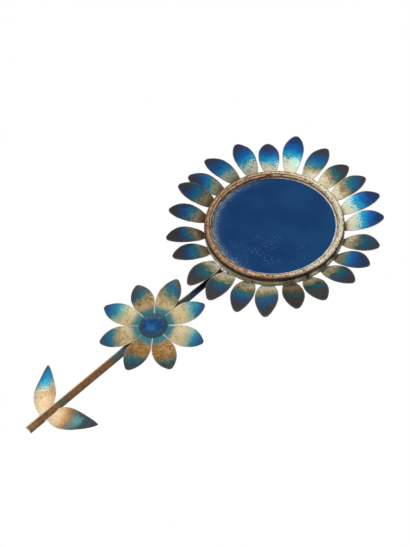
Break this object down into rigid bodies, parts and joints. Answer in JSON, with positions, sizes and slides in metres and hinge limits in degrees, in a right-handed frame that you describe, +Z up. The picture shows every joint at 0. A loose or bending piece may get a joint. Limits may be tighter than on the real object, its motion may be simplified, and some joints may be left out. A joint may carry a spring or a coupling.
{
  "type": "wall mirror",
  "caption": "Round wall mirror as a sunflower of formed tin: arched petals round a beaded rim, a stem with a small flower and two leaves, and a wire ring behind to hang it.",
  "frame": {"origin": "centre of the mirror on the plane of the wall, where the rear ring lies on it", "axes": "+Z up along the stem towards the head, +Y into the wall, the mirror faces -Y"},
  "size_m": [0.4422, 0.0335, 0.856],
  "materials": {
    "petal_tin": "heat-coloured tin, cream at the root through teal and blue to grey at the tip",
    "flower_tin": "mottled cream and gold tin with teal and blue bands",
    "leaf_tin": "cream tin fading to blue at the point",
    "button_tin": "deep blue tin with a grey-teal edge",
    "stem_tin": "rusty gold-brown tin with teal stretches",
    "frame_tin": "mottled bronze and cream tin, worn bright on the crown",
    "bright_tin": "bare tin, lightly stained",
    "back_tin": "dull bare tin with stains",
    "wire": "dull galvanised wire",
    "mirror_glass": "silvered glass with a blue cast and specks of lost silvering",
    "backing_card": "plain brown card"
  },
  "bodies": {
    "mirror": {"rear_ring": "back_tin", "rim_band": "frame_tin", "rim_bead": "frame_tin", "glass_lip": "bright_tin", "mirror_glass": "mirror_glass", "backing_card": "backing_card", "back_plate": "back_tin", "plate_tabs": "back_tin", "petal_01": "petal_tin", "petal_02": "petal_tin", "petal_03": "petal_tin", "petal_04": "petal_tin", "petal_05": "petal_tin", "petal_06": "petal_tin", "petal_07": "petal_tin", "petal_08": "petal_tin", "petal_09": "petal_tin", "petal_10": "petal_tin", "petal_11": "petal_tin", "petal_12": "petal_tin", "petal_13": "petal_tin", "petal_14": "petal_tin", "petal_15": "petal_tin", "petal_16": "petal_tin", "petal_17": "petal_tin", "petal_18": "petal_tin", "petal_19": "petal_tin", "petal_20": "petal_tin", "petal_21": "petal_tin", "petal_22": "petal_tin", "petal_23": "petal_tin", "stem": "stem_tin", "flower_back_disc": "back_tin", "flower_petal_1": "flower_tin", "flower_petal_2": "flower_tin", "flower_petal_3": "flower_tin", "flower_petal_4": "flower_tin", "flower_petal_5": "flower_tin", "flower_petal_6": "flower_tin", "flower_petal_7": "flower_tin", "flower_petal_8": "flower_tin", "flower_button": "button_tin", "left_leaf": "leaf_tin", "right_leaf": "leaf_tin", "hanger_strap": "back_tin"},
    "hanger_ring": {"hanger_ring": "wire"}
  },
  "joints": [
    {"name": "hanger_swing", "type": "hinge", "parent": "mirror", "child": "hanger_ring", "pos_m": [0, -0.00795, 0.092], "axis": [1, 0, 0], "range_deg": [0, 180]}
  ]
}
